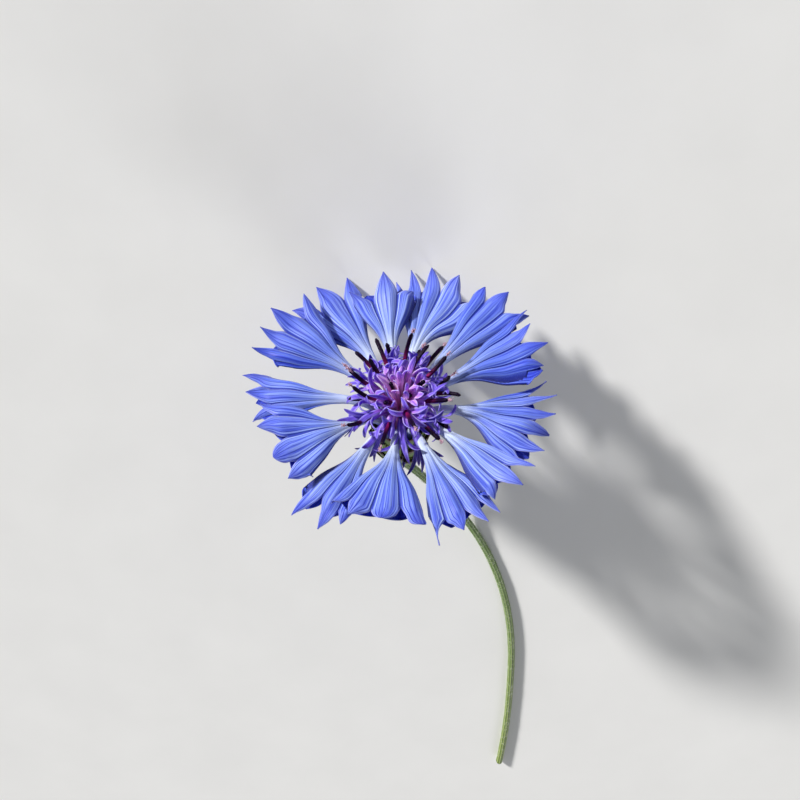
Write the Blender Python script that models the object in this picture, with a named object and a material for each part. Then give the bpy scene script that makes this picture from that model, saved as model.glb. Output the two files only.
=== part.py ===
"""A picked cornflower: one flower head on its own stem, lying on a flat surface.

The head leans on the tips of its lowest ray florets and faces -Y and upwards. The stem leaves the
head behind, bends down to the surface and lies along +Y. Metres, +Z up; the origin is under the
middle of the whole flower, on the surface.

Each part of the head is drawn round the head's own axis, +Z, from the foot of the head, where the
stem begins. Each floret is drawn in the plane of its own +X axis and that +Z axis, and is turned
to its place round the axis by its object's rotation.
"""

import math

import bmesh
import bpy
import numpy as np

MM = 0.001
GAP = 0.3 * MM  # between two pieces that touch

# How the flower lies.
FACE_ELEVATION = math.radians(32)  # the head's axis above the horizontal

# Receptacle: the solid foot of the head. Its domed top carries the florets.
RECEPTACLE_FOOT_RADIUS = 1.5 * MM
RECEPTACLE_RADIUS = 3.2 * MM
RECEPTACLE_SHOULDER = 7.4 * MM
RECEPTACLE_HEIGHT = 8.4 * MM

# Phyllaries: overlapping rows of bracts round the receptacle, the lowest row outermost.
BRACT_ROWS = 5
BRACTS_IN_ROW = 8
BRACT_LENGTH = 5.6 * MM
BRACT_THICKNESS = 0.3 * MM
BRACT_LEAN = 0.2  # how far a bract stands off, as a share of its height
BRACT_NOTCH = 0.5  # where neighbouring bracts part, as a share of the length
FIRST_ROW_HEIGHT = 0.5 * MM
MOUTH_HEIGHT = 13.4 * MM
MOUTH_PINCH = 0.3 * MM  # how much the rows draw in from the receptacle's shoulder to the mouth

# Ray florets: a bent tube that opens into a flattened, lobed funnel.
RAY_FOOT_RADIUS = 2.9 * MM
RAY_TUBE_RADIUS = 0.36 * MM
RAY_THROAT_RADIUS = 0.62 * MM
RAY_TUBE_LENGTH = 12.6 * MM
RAY_BEND_START = 4.4 * MM
RAY_START_LEAN = math.radians(3)
RAY_HALF_DEPTH = 1.2 * MM  # half of the funnel's depth at its open end
RAY_ARCH = 0.9 * MM  # how far the limb curves down at its tip
RAY_WALL = 0.3 * MM
RAY_SINUS = 0.68  # where the lobes part, as a share of the limb's length
RAY_LOWER_LOBES = (0.84, 0.78)  # the two lobes underneath, as a share of the limb's length
LOBE_BULGE = 1.6  # how full a lobe's sides are: 1 is a plain triangle
SIDE_MARGIN = 0.4  # from an outermost lobe's middle to the side, as a share of its inner half
FLATTENED_BY = 0.35  # the round tube has become flat by here, as a share of the limb's length
LOBE_COLUMNS = 4
# One row for each ray floret, clockwise as the flower faces you, from the lowest one: azimuth,
# rise above the face's plane and roll, in degrees; length of the limb, in millimetres; and each
# upper lobe's direction, in degrees from straight out, with its reach, as a share of the length.
RAY_FLORETS = (
    (351, 11, 0, 14.4, ((-15, 0.84), (5, 1.00), (23, 0.66))),
    (13, 2, 6, 16.8, ((-20, 0.85), (-9, 0.95), (2, 1.00), (16, 0.99), (36, 0.60))),
    (43, 9, 0, 16.8, ((-12, 0.92), (1, 1.00), (14, 0.99))),
    (67, 14, 12, 16.8, ((-17, 1.00), (-5, 0.88), (6, 0.94), (18, 0.80))),
    (100, 5, 4, 15.4, ((-21, 0.96), (-12, 1.00), (-2, 0.97), (9, 0.98), (22, 0.96), (35, 0.76))),
    (130, 9, -6, 14.9, ((-9, 0.99), (3, 1.00), (15, 0.82))),
    (155, 2, 0, 14.9, ((-20, 0.98), (-9, 1.00), (2, 0.88), (17, 0.98))),
    (186, 10, 0, 13.8, ((-20, 0.94), (1, 0.80), (19, 0.93), (33, 1.00))),
    (212, 0, 0, 15.4, ((-15, 0.80), (-3, 0.95), (12, 1.00))),
    (240, 10, -4, 13.9, ((-20, 0.96), (0, 0.94), (22, 1.00), (40, 0.99))),
    (273, 1, -10, 16.2, ((-13, 0.80), (-3, 0.89), (12, 1.00))),
    (303, 10, 6, 16.9, ((-20, 0.96), (-9, 0.97), (6, 1.00), (21, 0.94))),
    (330, 0, 0, 16.8, ((-20, 0.93), (-3, 0.99), (15, 1.00))),
)

# Disc florets: a slender tube, five pointed lobes and a tall column of anthers.
DISC_FLORETS = 30
GOLDEN_ANGLE = math.radians(137.508)
DISC_PITCH = 0.40 * MM  # the spiral's radius at its first floret
DISC_TUBE_RADIUS = 0.22 * MM
DISC_THROAT_RADIUS = 0.55 * MM
DISC_ANTHER_RADIUS = 0.34 * MM
DISC_BEND_START = 6.6 * MM
DISC_TUBE_LENGTH = 10.0 * MM
DISC_THROAT_LENGTH = 2.8 * MM
DISC_ANTHER_LENGTH = 4.8 * MM
DISC_LOBE_REACH = 1.1 * MM
DISC_LOBE_RISE = 2.2 * MM
DISC_START_LEAN = math.radians(3)  # of the outermost disc floret, where it stands
DISC_END_LEAN = math.radians(74)  # of the outermost disc floret, at its anthers
DISC_SIDES = 5

# Stem: bends down to the surface, swings aside and lies along it to the cut end.
STEM_LENGTH = 96 * MM
STEM_RADIUS = 0.75 * MM
STEM_NECK_RADIUS = 1.45 * MM
STEM_NECK_LENGTH = 5 * MM
STEM_SWING = math.radians(34)  # its widest swing to the side
STEM_SWING_REACHED = 4 * MM
STEM_SWING_HELD = 14 * MM
STEM_SWING_BACK = 76 * MM
STEM_END_SWING = math.radians(-6)
STEM_CUT_SLANT = 0.45 * MM
STEM_SECTIONS = 40
STEM_SIDES = 8


def clear_scene():
    for existing in list(bpy.data.objects):
        bpy.data.objects.remove(existing, do_unlink=True)


def plain_material(name, colour, roughness):
    material = bpy.data.materials.new(name)
    material.use_nodes = True
    shader = material.node_tree.nodes["Principled BSDF"]
    shader.inputs["Base Color"].default_value = (*colour, 1.0)
    shader.inputs["Roughness"].default_value = roughness
    shader.inputs["Metallic"].default_value = 0.0
    return material


def empty(name, parent=None):
    holder = bpy.data.objects.new(name, None)
    bpy.context.collection.objects.link(holder)
    holder.parent = parent
    return holder


def lofted(rings, is_loop=False):
    """A closed mesh through rings of equally many points: capped at both ends, or joined in a loop."""
    shape = bmesh.new()
    loops = [[shape.verts.new(point) for point in ring] for ring in rings]
    pairs = list(zip(loops, loops[1:]))
    if is_loop:
        pairs.append((loops[-1], loops[0]))
    else:
        shape.faces.new(loops[0])
        shape.faces.new(loops[-1])
    for lower, upper in pairs:
        for side in range(len(lower)):
            after = (side + 1) % len(lower)
            shape.faces.new((lower[side], lower[after], upper[after], upper[side]))
    return shape


def solid(name, shape, material, parent, location=(0, 0, 0), turn=0.0):
    """Makes an object of a bmesh, with its faces pointing out, round parts smooth and edges crisp."""
    bmesh.ops.recalc_face_normals(shape, faces=shape.faces)
    mesh = bpy.data.meshes.new(name)
    shape.to_mesh(mesh)
    shape.free()
    mesh.shade_smooth()
    mesh.set_sharp_from_angle(angle=math.radians(40))
    mesh.materials.append(material)
    piece = bpy.data.objects.new(name, mesh)
    bpy.context.collection.objects.link(piece)
    piece.parent = parent
    piece.location = location
    piece.rotation_euler = (0, 0, turn)
    return piece


def circle(sides):
    """Cosine and sine of equal steps round a circle."""
    angles = np.arange(sides) * (2 * math.pi / sides)
    return np.cos(angles), np.sin(angles)


def receptacle_radius(height):
    """Radius of the receptacle's flank, from its narrow foot to its shoulder."""
    share = np.clip(height / RECEPTACLE_SHOULDER, 0, 1)
    swell = RECEPTACLE_RADIUS - RECEPTACLE_FOOT_RADIUS
    return RECEPTACLE_FOOT_RADIUS + swell * np.sin(share * math.pi / 2) ** 0.7


def dome_height(radius):
    """Height of the receptacle's domed top at a distance from the axis."""
    drop = RECEPTACLE_HEIGHT - RECEPTACLE_SHOULDER
    return RECEPTACLE_HEIGHT - drop * (radius / RECEPTACLE_RADIUS) ** 2


def make_receptacle(head, material):
    cosine, sine = circle(24)
    flank = [(receptacle_radius(h), h) for h in np.linspace(0, RECEPTACLE_SHOULDER, 6)]
    dome = [(r, dome_height(r)) for r in np.linspace(RECEPTACLE_RADIUS, 0, 5)[1:-1]]
    rings = [
        np.column_stack((radius * cosine, radius * sine, np.full(24, height)))
        for radius, height in flank + dome
    ]
    solid("receptacle", lofted(rings), material, head)


def bract_tip_share(columns_in_bract, bracts):
    """How high each column of a row of bracts reaches, as a share of the bract's length."""
    across = np.linspace(-1, 1, columns_in_bract, endpoint=False)
    one = BRACT_NOTCH + (1 - BRACT_NOTCH) * (1 - np.abs(across) ** 1.5)
    return np.tile(one, bracts)


def bract_row_inside(height, foot_height):
    """Inner radius of a row of bracts, which lies on the receptacle at its foot and leans out."""
    flank = receptacle_radius(np.minimum(height, RECEPTACLE_SHOULDER)) + GAP
    above = np.clip((height - RECEPTACLE_SHOULDER) / (MOUTH_HEIGHT - RECEPTACLE_SHOULDER), 0, 1)
    return flank - MOUTH_PINCH * above + BRACT_LEAN * (height - foot_height)


def make_bract_rows(head, material):
    columns_in_bract = 4
    cosine, sine = circle(columns_in_bract * BRACTS_IN_ROW)
    reach = bract_tip_share(columns_in_bract, BRACTS_IN_ROW)
    last_foot = MOUTH_HEIGHT - BRACT_LENGTH
    for row, foot in enumerate(np.linspace(FIRST_ROW_HEIGHT, last_foot, BRACT_ROWS)):
        outside = []
        inside = []
        for share in (0.0, 0.5, 1.0):
            height = foot + share * reach * BRACT_LENGTH
            radius = bract_row_inside(height, foot)
            inside.append(np.column_stack((radius * cosine, radius * sine, height)))
            radius = radius + BRACT_THICKNESS
            outside.append(np.column_stack((radius * cosine, radius * sine, height)))
        shape = lofted(outside + inside[::-1], is_loop=True)
        half_step = (row % 2) * math.pi / BRACTS_IN_ROW
        solid(f"phyllary_row_{row + 1}", shape, material, head, turn=half_step)


def bent_path(along, start_lean, end_lean, bend_start, bend_end):
    """A path that starts straight, bends on an arc and goes on straight, in its own plane.

    Returns how far out and how high it is, and its lean from the vertical, at each distance."""
    radius = (bend_end - bend_start) / (end_lean - start_lean)
    in_bend = np.clip(along, bend_start, bend_end)
    lean = start_lean + (in_bend - bend_start) / radius
    before = np.minimum(along, bend_start)
    after = np.maximum(along - bend_end, 0)
    out = before * math.sin(start_lean) + radius * (math.cos(start_lean) - np.cos(lean))
    high = before * math.cos(start_lean) + radius * (np.sin(lean) - math.sin(start_lean))
    return out + after * np.sin(lean), high + after * np.cos(lean), lean


def upper_sectors(lobes):
    """Each upper lobe's start, middle and end directions. The funnel's two sides run close along
    its outermost lobes."""
    middles = [direction for direction, _ in lobes]
    between = [(first + second) / 2 for first, second in zip(middles, middles[1:])]
    first_edge = middles[0] - SIDE_MARGIN * (between[0] - middles[0])
    last_edge = middles[-1] + SIDE_MARGIN * (middles[-1] - between[-1])
    edges = [first_edge, *between, last_edge]
    return list(zip(edges, middles, edges[1:]))


def funnel_columns(lobes):
    """The funnel's columns, once round: over the top from one side to the other, and back below.

    Returns each column's direction, in radians, its place across the funnel, from -1 to 1, its
    side, 1 above and -1 below, and its reach, as a share of the limb's length."""
    upper = upper_sectors(lobes)
    first, last = upper[0][0], upper[-1][2]
    ends = np.linspace(last, first, len(RAY_LOWER_LOBES) + 1)
    lower = [(start, (start + end) / 2, end) for start, end in zip(ends, ends[1:])]
    direction, side, reach = [], [], []
    in_lobe = np.linspace(-1, 1, LOBE_COLUMNS, endpoint=False)
    for sheet, sectors, tips in ((1, upper, [tip for _, tip in lobes]), (-1, lower, RAY_LOWER_LOBES)):
        for sector, tip in zip(sectors, tips):
            direction.extend(np.interp(in_lobe, (-1, 0, 1), sector))
            side.extend([sheet] * LOBE_COLUMNS)
            reach.extend(RAY_SINUS + (tip - RAY_SINUS) * (1 - np.abs(in_lobe) ** LOBE_BULGE))
    direction = np.array(direction)
    across = 2 * (direction - first) / (last - first) - 1
    return np.radians(direction), across, np.array(side), np.array(reach)


def ray_points(columns, beyond, floret, inset=0.0):
    """Points of a ray floret. Beyond is the distance past the throat, less than 0 in the tube."""
    direction, across, side, _ = columns
    _, rise, roll, length, _ = floret
    in_limb = np.maximum(beyond, 0)
    opened = np.clip(in_limb / (length * MM), 0, 1)
    flat = np.clip(opened / FLATTENED_BY, 0, 1)
    turn = math.pi / 2 * (1 - across)
    width_share = np.cos(turn) * (1 - flat) + across * flat
    depth_share = np.sin(turn) * (1 - flat) + np.sqrt(1 - np.abs(across) ** 2.4) * flat
    tube_share = np.clip(1 + beyond / RAY_TUBE_LENGTH, 0, 1) ** 2
    half_width = RAY_TUBE_RADIUS + (RAY_THROAT_RADIUS - RAY_TUBE_RADIUS) * tube_share - inset
    half_depth = half_width + (RAY_HALF_DEPTH - RAY_THROAT_RADIUS) * np.sin(opened * math.pi / 2)
    sideways = half_width * width_share + in_limb * np.sin(direction)
    upwards = half_depth * depth_share * side
    turned = math.radians(roll) * opened
    aside = sideways * np.cos(turned) - upwards * np.sin(turned)
    up = sideways * np.sin(turned) + upwards * np.cos(turned) - RAY_ARCH * opened**2
    along = RAY_TUBE_LENGTH + np.minimum(beyond, 0) + in_limb * np.cos(direction)
    end_lean = math.pi / 2 - math.radians(rise)
    out, high, lean = bent_path(along, RAY_START_LEAN, end_lean, RAY_BEND_START, RAY_TUBE_LENGTH)
    return np.column_stack((out - up * np.cos(lean), -aside, high + up * np.sin(lean)))


def ray_floret_shape(floret):
    """The floret's outside from its foot to the lobes' edge, and its inside back to the throat."""
    columns = funnel_columns(floret[-1])
    limb = floret[-2] * MM * columns[-1]
    rings = []
    for beyond in (-RAY_TUBE_LENGTH, RAY_BEND_START - RAY_TUBE_LENGTH, -0.3 * RAY_TUBE_LENGTH):
        rings.append(ray_points(columns, np.full(len(limb), beyond), floret))
    limb_shares = (0.0, 0.3, 0.62, 1.0)
    for share in limb_shares:
        rings.append(ray_points(columns, share * limb, floret))
    for share in limb_shares[:0:-1]:
        rings.append(ray_points(columns, share * limb, floret, RAY_WALL))
    return lofted(rings)


def make_ray_florets(head, material):
    foot_height = dome_height(RAY_FOOT_RADIUS) + GAP
    for number, floret in enumerate(RAY_FLORETS, start=1):
        turn = math.radians(270 - floret[0])
        foot = (
            RAY_FOOT_RADIUS * math.cos(turn),
            RAY_FOOT_RADIUS * math.sin(turn),
            foot_height,
        )
        solid(f"ray_floret_{number:02d}", ray_floret_shape(floret), material, head, foot, turn)


def disc_floret_shape(share_out):
    """A disc floret; share_out is its place from the middle, 0, to the edge of the disc, 1."""
    throat = DISC_TUBE_LENGTH + DISC_THROAT_LENGTH
    stations = (
        (0.0, DISC_TUBE_RADIUS),
        (DISC_BEND_START, DISC_TUBE_RADIUS),
        (DISC_TUBE_LENGTH, DISC_TUBE_RADIUS),
        (throat, DISC_THROAT_RADIUS),
        (throat + 0.1 * MM, DISC_ANTHER_RADIUS),
        (throat + DISC_ANTHER_LENGTH, 0.5 * DISC_ANTHER_RADIUS),
    )
    lobe_foot = 3  # the lobes grow from the step between this station and the next
    lean = (DISC_START_LEAN * share_out, DISC_START_LEAN + DISC_END_LEAN * share_out)
    bend = (DISC_BEND_START, throat)

    def place(along, aside, up):
        out, high, tilt = bent_path(along, *lean, *bend)
        return np.column_stack((out + up * np.cos(tilt), aside, high - up * np.sin(tilt)))

    cosine, sine = circle(DISC_SIDES)
    rings = [place(np.full(DISC_SIDES, at), r * sine, r * cosine) for at, r in stations]
    shape = lofted(rings)
    corner_points = list(shape.verts)
    lower = corner_points[DISC_SIDES * lobe_foot :]
    upper = corner_points[DISC_SIDES * (lobe_foot + 1) :]
    for side in range(DISC_SIDES):
        after = (side + 1) % DISC_SIDES
        corners = (lower[side], lower[after], upper[after], upper[side])
        shape.faces.remove(shape.faces.get(corners))
        middle = (side + 0.5) * 2 * math.pi / DISC_SIDES
        reach = DISC_THROAT_RADIUS + DISC_LOBE_REACH
        sideways = np.array([reach * math.sin(middle)])
        upwards = np.array([reach * math.cos(middle)])
        tip = shape.verts.new(place(np.array([throat + DISC_LOBE_RISE]), sideways, upwards)[0])
        for corner in range(4):
            shape.faces.new((corners[corner], corners[(corner + 1) % 4], tip))
    return shape


def make_disc_florets(head, material):
    edge = DISC_PITCH * math.sqrt(DISC_FLORETS)
    for number in range(DISC_FLORETS):
        radius = DISC_PITCH * math.sqrt(number + 0.5)
        turn = number * GOLDEN_ANGLE
        foot = (
            radius * math.cos(turn),
            radius * math.sin(turn),
            dome_height(radius) + GAP,
        )
        shape = disc_floret_shape(radius / edge)
        solid(f"disc_floret_{number + 1:02d}", shape, material, head, foot, turn)


def stem_swing(along):
    """Direction of the stem over the surface, from +Y towards -X, at a distance from the head."""
    if along < STEM_SWING_REACHED:
        return STEM_SWING * along / STEM_SWING_REACHED
    if along < STEM_SWING_HELD:
        return STEM_SWING
    if along < STEM_SWING_BACK:
        share = (along - STEM_SWING_HELD) / (STEM_SWING_BACK - STEM_SWING_HELD)
        return STEM_SWING * 0.5 * (1 + math.cos(math.pi * share))
    share = (along - STEM_SWING_BACK) / (STEM_LENGTH - STEM_SWING_BACK)
    return STEM_END_SWING * share


def stem_stations(top_height):
    """Points and directions along the stem, from the head's foot down to the surface and along it."""
    drop = top_height - STEM_RADIUS
    bend_length = drop * FACE_ELEVATION / (1 - math.cos(FACE_ELEVATION))
    step = STEM_LENGTH / STEM_SECTIONS
    point = np.array([0.0, 0.0, top_height])
    stations = []
    for section in range(STEM_SECTIONS + 1):
        along = section * step
        descent = FACE_ELEVATION * max(0.0, 1 - (along + 0.5 * step) / bend_length)
        swing = stem_swing(along + 0.5 * step)
        heading = np.array((-math.sin(swing), math.cos(swing), 0.0)) * math.cos(descent)
        heading[2] = -math.sin(descent)
        stations.append((along, point.copy(), heading))
        point = point + step * heading
    return stations


def make_stem(root, material, top_height):
    cosine, sine = circle(STEM_SIDES)
    rings = []
    for along, point, heading in stem_stations(top_height):
        side = np.cross(heading, (0.0, 0.0, 1.0))
        side /= np.linalg.norm(side)
        upright = np.cross(side, heading)
        neck = max(0.0, 1 - along / STEM_NECK_LENGTH) ** 2
        radius = STEM_RADIUS + (STEM_NECK_RADIUS - STEM_RADIUS) * neck
        slant = STEM_CUT_SLANT * sine * (along > STEM_LENGTH - 0.5 * MM)
        ring = point + radius * (np.outer(cosine, side) + np.outer(sine, upright))
        rings.append(ring + np.outer(slant, heading))
    rings[0] = rings[0] + GAP * stem_stations(top_height)[0][2]
    solid("stem", lofted(rings), material, root)


def lowest_point(parts):
    """The lowest world height of some objects' vertices."""
    return min(
        (part.matrix_world @ vertex.co).z for part in parts for vertex in part.data.vertices
    )


def stand_on_origin(root):
    """Moves everything so that the middle of its box is over the origin and its bottom at zero."""
    bpy.context.view_layer.update()
    corners = np.array(
        [
            part.matrix_world @ vertex.co
            for part in bpy.data.objects
            if part.type == "MESH"
            for vertex in part.data.vertices
        ]
    )
    middle = (corners.min(axis=0) + corners.max(axis=0)) / 2
    root.location = (-middle[0], -middle[1], -corners[:, 2].min())


def main():
    clear_scene()
    ray_blue = plain_material("ray_blue", (0.16, 0.24, 0.85), 0.55)
    disc_violet = plain_material("disc_violet", (0.30, 0.12, 0.62), 0.55)
    bract_green = plain_material("bract_green", (0.16, 0.22, 0.08), 0.65)
    receptacle_green = plain_material("receptacle_green", (0.45, 0.50, 0.28), 0.6)
    stem_green = plain_material("stem_green", (0.22, 0.32, 0.13), 0.6)

    root = empty("cornflower")
    head = empty("head", root)
    head.rotation_euler = (math.pi / 2 - FACE_ELEVATION, 0, 0)
    make_receptacle(head, receptacle_green)
    make_bract_rows(head, bract_green)
    make_ray_florets(head, ray_blue)
    make_disc_florets(head, disc_violet)
    bpy.context.view_layer.update()
    head_height = -lowest_point([part for part in head.children if part.type == "MESH"])
    head.location.z = head_height
    make_stem(root, stem_green, head_height)
    stand_on_origin(root)


main()
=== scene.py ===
"""A picked cornflower lying on a pale surface.

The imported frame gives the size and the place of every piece. The flower's head is drawn round its
own axis, +Z, from its foot, and in_frame takes it to the frame's coordinates, where the packed
receptacle lies. Each floret is drawn in the plane of its own +X axis and that +Z axis, and is then
turned to its place round the axis. Lengths are in metres.
"""

import math

import bmesh
import bpy
import numpy as np
from mathutils import Matrix, Vector


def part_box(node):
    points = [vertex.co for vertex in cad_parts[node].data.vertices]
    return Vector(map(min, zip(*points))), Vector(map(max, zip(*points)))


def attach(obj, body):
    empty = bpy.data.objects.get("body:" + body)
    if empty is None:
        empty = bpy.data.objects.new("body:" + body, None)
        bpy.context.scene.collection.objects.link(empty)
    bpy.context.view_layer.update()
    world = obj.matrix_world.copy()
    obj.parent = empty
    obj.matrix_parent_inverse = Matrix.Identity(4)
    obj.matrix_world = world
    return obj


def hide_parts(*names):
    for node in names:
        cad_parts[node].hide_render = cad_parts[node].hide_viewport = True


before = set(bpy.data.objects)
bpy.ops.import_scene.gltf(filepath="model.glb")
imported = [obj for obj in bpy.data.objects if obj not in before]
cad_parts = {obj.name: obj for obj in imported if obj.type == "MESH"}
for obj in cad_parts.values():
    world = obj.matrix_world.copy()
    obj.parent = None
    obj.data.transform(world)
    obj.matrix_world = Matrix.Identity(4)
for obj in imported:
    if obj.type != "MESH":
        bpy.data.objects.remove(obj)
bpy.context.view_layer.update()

MM = 0.001
GAP = 0.3 * MM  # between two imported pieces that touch
FACE_ELEVATION = math.radians(32)  # the head's axis above the horizontal

# Receptacle and involucre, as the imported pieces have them.
RECEPTACLE_FOOT_RADIUS = 1.5 * MM
RECEPTACLE_RADIUS = 3.2 * MM
RECEPTACLE_SHOULDER = 7.4 * MM
RECEPTACLE_HEIGHT = 8.4 * MM
RECEPTACLE_ROUNDING = 0.7
BRACT_ROWS = 5
BRACTS_IN_ROW = 8
BRACT_LENGTH = 5.6 * MM
BRACT_LEAN = 0.2
FIRST_ROW_HEIGHT = 0.5 * MM
MOUTH_HEIGHT = 13.4 * MM
MOUTH_PINCH = 0.3 * MM

# The fine shape of a bract.
BRACT_WALL = 0.12 * MM
BRACT_COLUMNS = 15
BRACT_POINT_ROWS = 22
BRACT_WIDTH = 1.12  # times its share of the row, so that neighbours overlap
BRACT_SHOULDER = 0.42  # the share of its length where it begins to narrow
BRACT_TIP_POWER = 1.9
BRACT_LIFT = 0.10 * MM
BRACT_KEEL = 0.20 * MM
BRACT_LAP = 0.07 * MM
BRACT_FLARE = 0.25 * MM
FRINGE_TEETH = 11
FRINGE_START = 0.36  # where a bract's comb begins, as a share of its length
FRINGE_SPAN = 0.62  # how much of that length the comb takes up
FRINGE_HALF_TOOTH = 0.017
FRINGE_LENGTHS = (0.32 * MM, 0.5 * MM)

# Ray florets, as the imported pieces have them.
RAY_FOOT_RADIUS = 2.9 * MM
RAY_TUBE_RADIUS = 0.36 * MM
RAY_THROAT_RADIUS = 0.62 * MM
RAY_TUBE_LENGTH = 12.6 * MM
RAY_BEND_START = 4.4 * MM
RAY_START_LEAN = math.radians(3)
RAY_HALF_DEPTH = 1.2 * MM
RAY_ARCH = 0.9 * MM
SIDE_MARGIN = 0.4
FLATTENED_BY = 0.35
SECTION_POWER = 2.4

# The fine shape of a ray floret.
PETAL_WALL = 0.13 * MM
LOBE_COLUMNS = 16
TUBE_ROWS = 12
FUSED_ROWS = 20
FREE_ROWS = 20
PARTED = 0.6  # the materials' place along the limb, from 0 to 1, where the lobes part
SINUS_SPREAD = 0.05  # how much sooner or later two lobes may part, as a share of the length
FLARE = 0.60  # how much narrower the fan is at the throat than its lobes' own directions
FLARED_BY = 0.55  # the fan is at its full width by here, as a share of the limb's length
PLEAT_DEPTH = 0.80 * MM  # between a lobe's ridge and the groove beside it, where the lobes part
RIDGE_HEIGHT = 0.35  # the share of a pleat's depth that stands above the even sheet
RIDGE_SHARPNESS = 1.15  # 1 gives a lobe a sharp ridge, and more makes it round
RIDGE_SKEW = 0.35  # the most that a ridge lies off its lobe's middle, as a share of the half
RUMPLE = 0.28 * MM  # how far a limb waves up and down along its length
RUMPLE_LENGTH = 7.5 * MM
RUMPLE_TURN = 14  # degrees across the limb for each radian of the wave
RIPPLE = 0.09 * MM  # how far a free lobe's edges wave
LOBE_DRIFT = 2.8  # the most that a lobe's tip lies off its direction, in degrees
CURL_SPREAD = 10  # the most that a lobe's curl differs from its style's, in degrees
FREED_BY = 0.5  # the share of a free lobe over which the pleats give way to its own fold
LOBE_TIP_WIDTH = 0.05 * MM
TONE_SPREAD = 0.34
# The lower sheet's tone, which the petal material turns into painted shade.
LOWER_SHEET_SHADE = -0.4
# How a free lobe ends and lies: (side power, tip power, swell, fold on its left and on its right in
# degrees, curl towards the front in degrees).
LOBE_STYLES = {
    "acute": (1.9, 1.0, 0.08, 30, 22, -6),
    "left_folded": (1.9, 1.0, 0.11, 46, 10, 2),
    "right_folded": (1.9, 1.0, 0.11, 10, 48, 2),
    "narrow": (1.5, 1.1, 0.05, 36, 38, 12),
    "curled": (1.7, 1.1, 0.10, 34, 24, 62),
    "recurved": (2.0, 1.0, 0.12, 24, 20, -58),
    "thread": (0.9, 2.3, 0.0, 30, 30, -20),
    "blunt": (3.6, 0.76, 0.0, 20, 24, 8),
    "squared": (7.0, 0.45, -0.10, 20, 14, 8),
    "trough": (2.1, 1.0, 0.12, -30, -24, 4),
}
# One row for each ray floret, clockwise as the flower faces you, from the lowest one: azimuth,
# rise above the face's plane and roll, in degrees; length of the limb, in millimetres; the share of
# that length by which the lobes part; how far the lower sheet stands out beside the upper one, in
# degrees; how much painted light the floret gets, from 0, painted shade, to 1, painted light; and
# each upper lobe's direction, in degrees from straight out, its reach, as a share of the length, and
# its style.
RAY_FLORETS = (
    (351, 11, 0, 14.4, 0.66, 4, 0.9, (
        (-19, 0.86, "narrow"), (3, 1.0, "acute"), (21, 0.78, "blunt"))),
    (13, 2, 6, 16.8, 0.68, 6, 0.85, (
        (-20, 0.85, "narrow"), (-9, 0.95, "left_folded"), (2, 1.0, "acute"),
        (16, 0.99, "right_folded"), (36, 0.82, "acute"))),
    (43, 9, 0, 16.8, 0.77, 3, 0.5, (
        (-12, 0.94, "acute"), (1, 1.0, "right_folded"), (14, 0.99, "left_folded"))),
    (67, 14, 12, 16.8, 0.73, 11, 0.45, (
        (-17, 1.0, "narrow"), (-5, 0.91, "left_folded"), (6, 0.96, "acute"),
        (18, 0.88, "recurved"))),
    (100, 5, 4, 15.4, 0.66, 3, 0.75, (
        (-21, 0.96, "curled"), (-12, 1.0, "narrow"), (-2, 0.97, "left_folded"),
        (9, 0.98, "recurved"), (22, 0.96, "acute"), (35, 0.84, "narrow"))),
    (130, 9, -6, 14.9, 0.73, 5, 0.8, (
        (-9, 0.99, "right_folded"), (3, 1.0, "acute"), (15, 0.9, "recurved"))),
    (155, 2, 0, 14.9, 0.76, -4, 0.7, (
        (-20, 0.98, "acute"), (-9, 1.0, "left_folded"), (2, 0.96, "right_folded"),
        (17, 1.02, "thread"))),
    (186, 10, 0, 13.8, 0.76, 0, 0.7, (
        (-20, 0.96, "squared"), (1, 0.9, "blunt"), (19, 0.95, "left_folded"), (33, 1.0, "curled"))),
    (212, 0, 0, 15.4, 0.67, 5, 0.45, (
        (-15, 0.84, "acute"), (-3, 0.97, "right_folded"), (12, 1.0, "acute"))),
    (240, 10, -4, 13.9, 0.72, -3, 0.6, (
        (-20, 0.96, "acute"), (0, 0.95, "blunt"), (22, 1.0, "left_folded"), (40, 0.99, "acute"))),
    (273, 1, -10, 16.2, 0.67, -7, 0.65, (
        (-13, 0.86, "acute"), (-3, 0.92, "trough"), (12, 1.0, "left_folded"))),
    (303, 10, 6, 16.9, 0.7, -5, 0.35, (
        (-20, 0.96, "left_folded"), (-9, 0.97, "narrow"), (6, 1.0, "right_folded"),
        (21, 0.95, "acute"))),
    (330, 0, 0, 16.8, 0.7, -9, 0.35, (
        (-20, 0.95, "trough"), (-3, 0.99, "left_folded"), (15, 1.0, "acute"))),
)
# The two lobes underneath: reach and style.
LOWER_LOBES = ((0.84, "acute"), (0.80, "acute"))

# Disc florets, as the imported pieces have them.
DISC_FLORETS = 30
GOLDEN_ANGLE = math.radians(137.508)
DISC_PITCH = 0.40 * MM
DISC_TUBE_RADIUS = 0.22 * MM
DISC_THROAT_RADIUS = 0.55 * MM
DISC_BEND_START = 6.6 * MM
DISC_TUBE_LENGTH = 10.0 * MM
DISC_THROAT_LENGTH = 2.8 * MM
DISC_THROAT = DISC_TUBE_LENGTH + DISC_THROAT_LENGTH
DISC_START_LEAN = math.radians(3)
DISC_END_LEAN = math.radians(74)

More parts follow.
